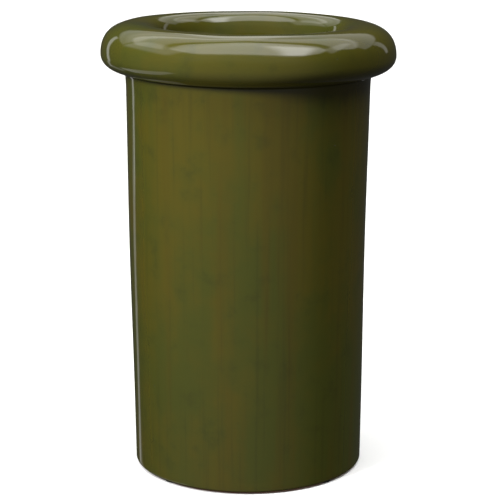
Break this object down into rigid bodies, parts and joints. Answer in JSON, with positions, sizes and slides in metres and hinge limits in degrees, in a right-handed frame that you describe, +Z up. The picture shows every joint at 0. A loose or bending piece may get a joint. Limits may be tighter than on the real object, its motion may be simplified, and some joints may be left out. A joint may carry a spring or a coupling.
{
  "type": "terracotta pot",
  "caption": "Tall cylindrical glazed terracotta pot with a hollow rolled rim, a drain hole with a lift-out rubber plug, and rubber pads under the foot.",
  "frame": {"origin": "centre of the pot at the level of the surface it stands on, which is the underside of the rubber pads", "axes": "+Z up along the pot's axis of turning, from the foot to the rim; -Y is the front; the two vents in the rolled rim lie on the X axis"},
  "size_m": [0.3, 0.3, 0.462],
  "materials": {
    "terracotta": "bare fired clay, matt and slightly gritty",
    "olive_glaze": "glossy olive green glaze with faint vertical runs and pinholes",
    "black_rubber": "matt black rubber",
    "grey_rubber": "matt dark grey moulded rubber"
  },
  "bodies": {
    "pot": {"cylinder_wall": "terracotta", "base_disc": "terracotta", "rolled_rim": "terracotta", "base_coil": "terracotta", "rim_coil": "terracotta", "wall_glaze": "olive_glaze", "rim_glaze": "olive_glaze", "inside_glaze": "olive_glaze", "foot_pad_1": "black_rubber", "foot_pad_2": "black_rubber", "foot_pad_3": "black_rubber", "foot_pad_4": "black_rubber"},
    "plug": {"drain_plug": "grey_rubber"}
  },
  "joints": [
    {"name": "plug_lift", "type": "slide", "parent": "pot", "child": "plug", "axis": [0, 0, 1], "range_m": [0, 0.46]}
  ]
}
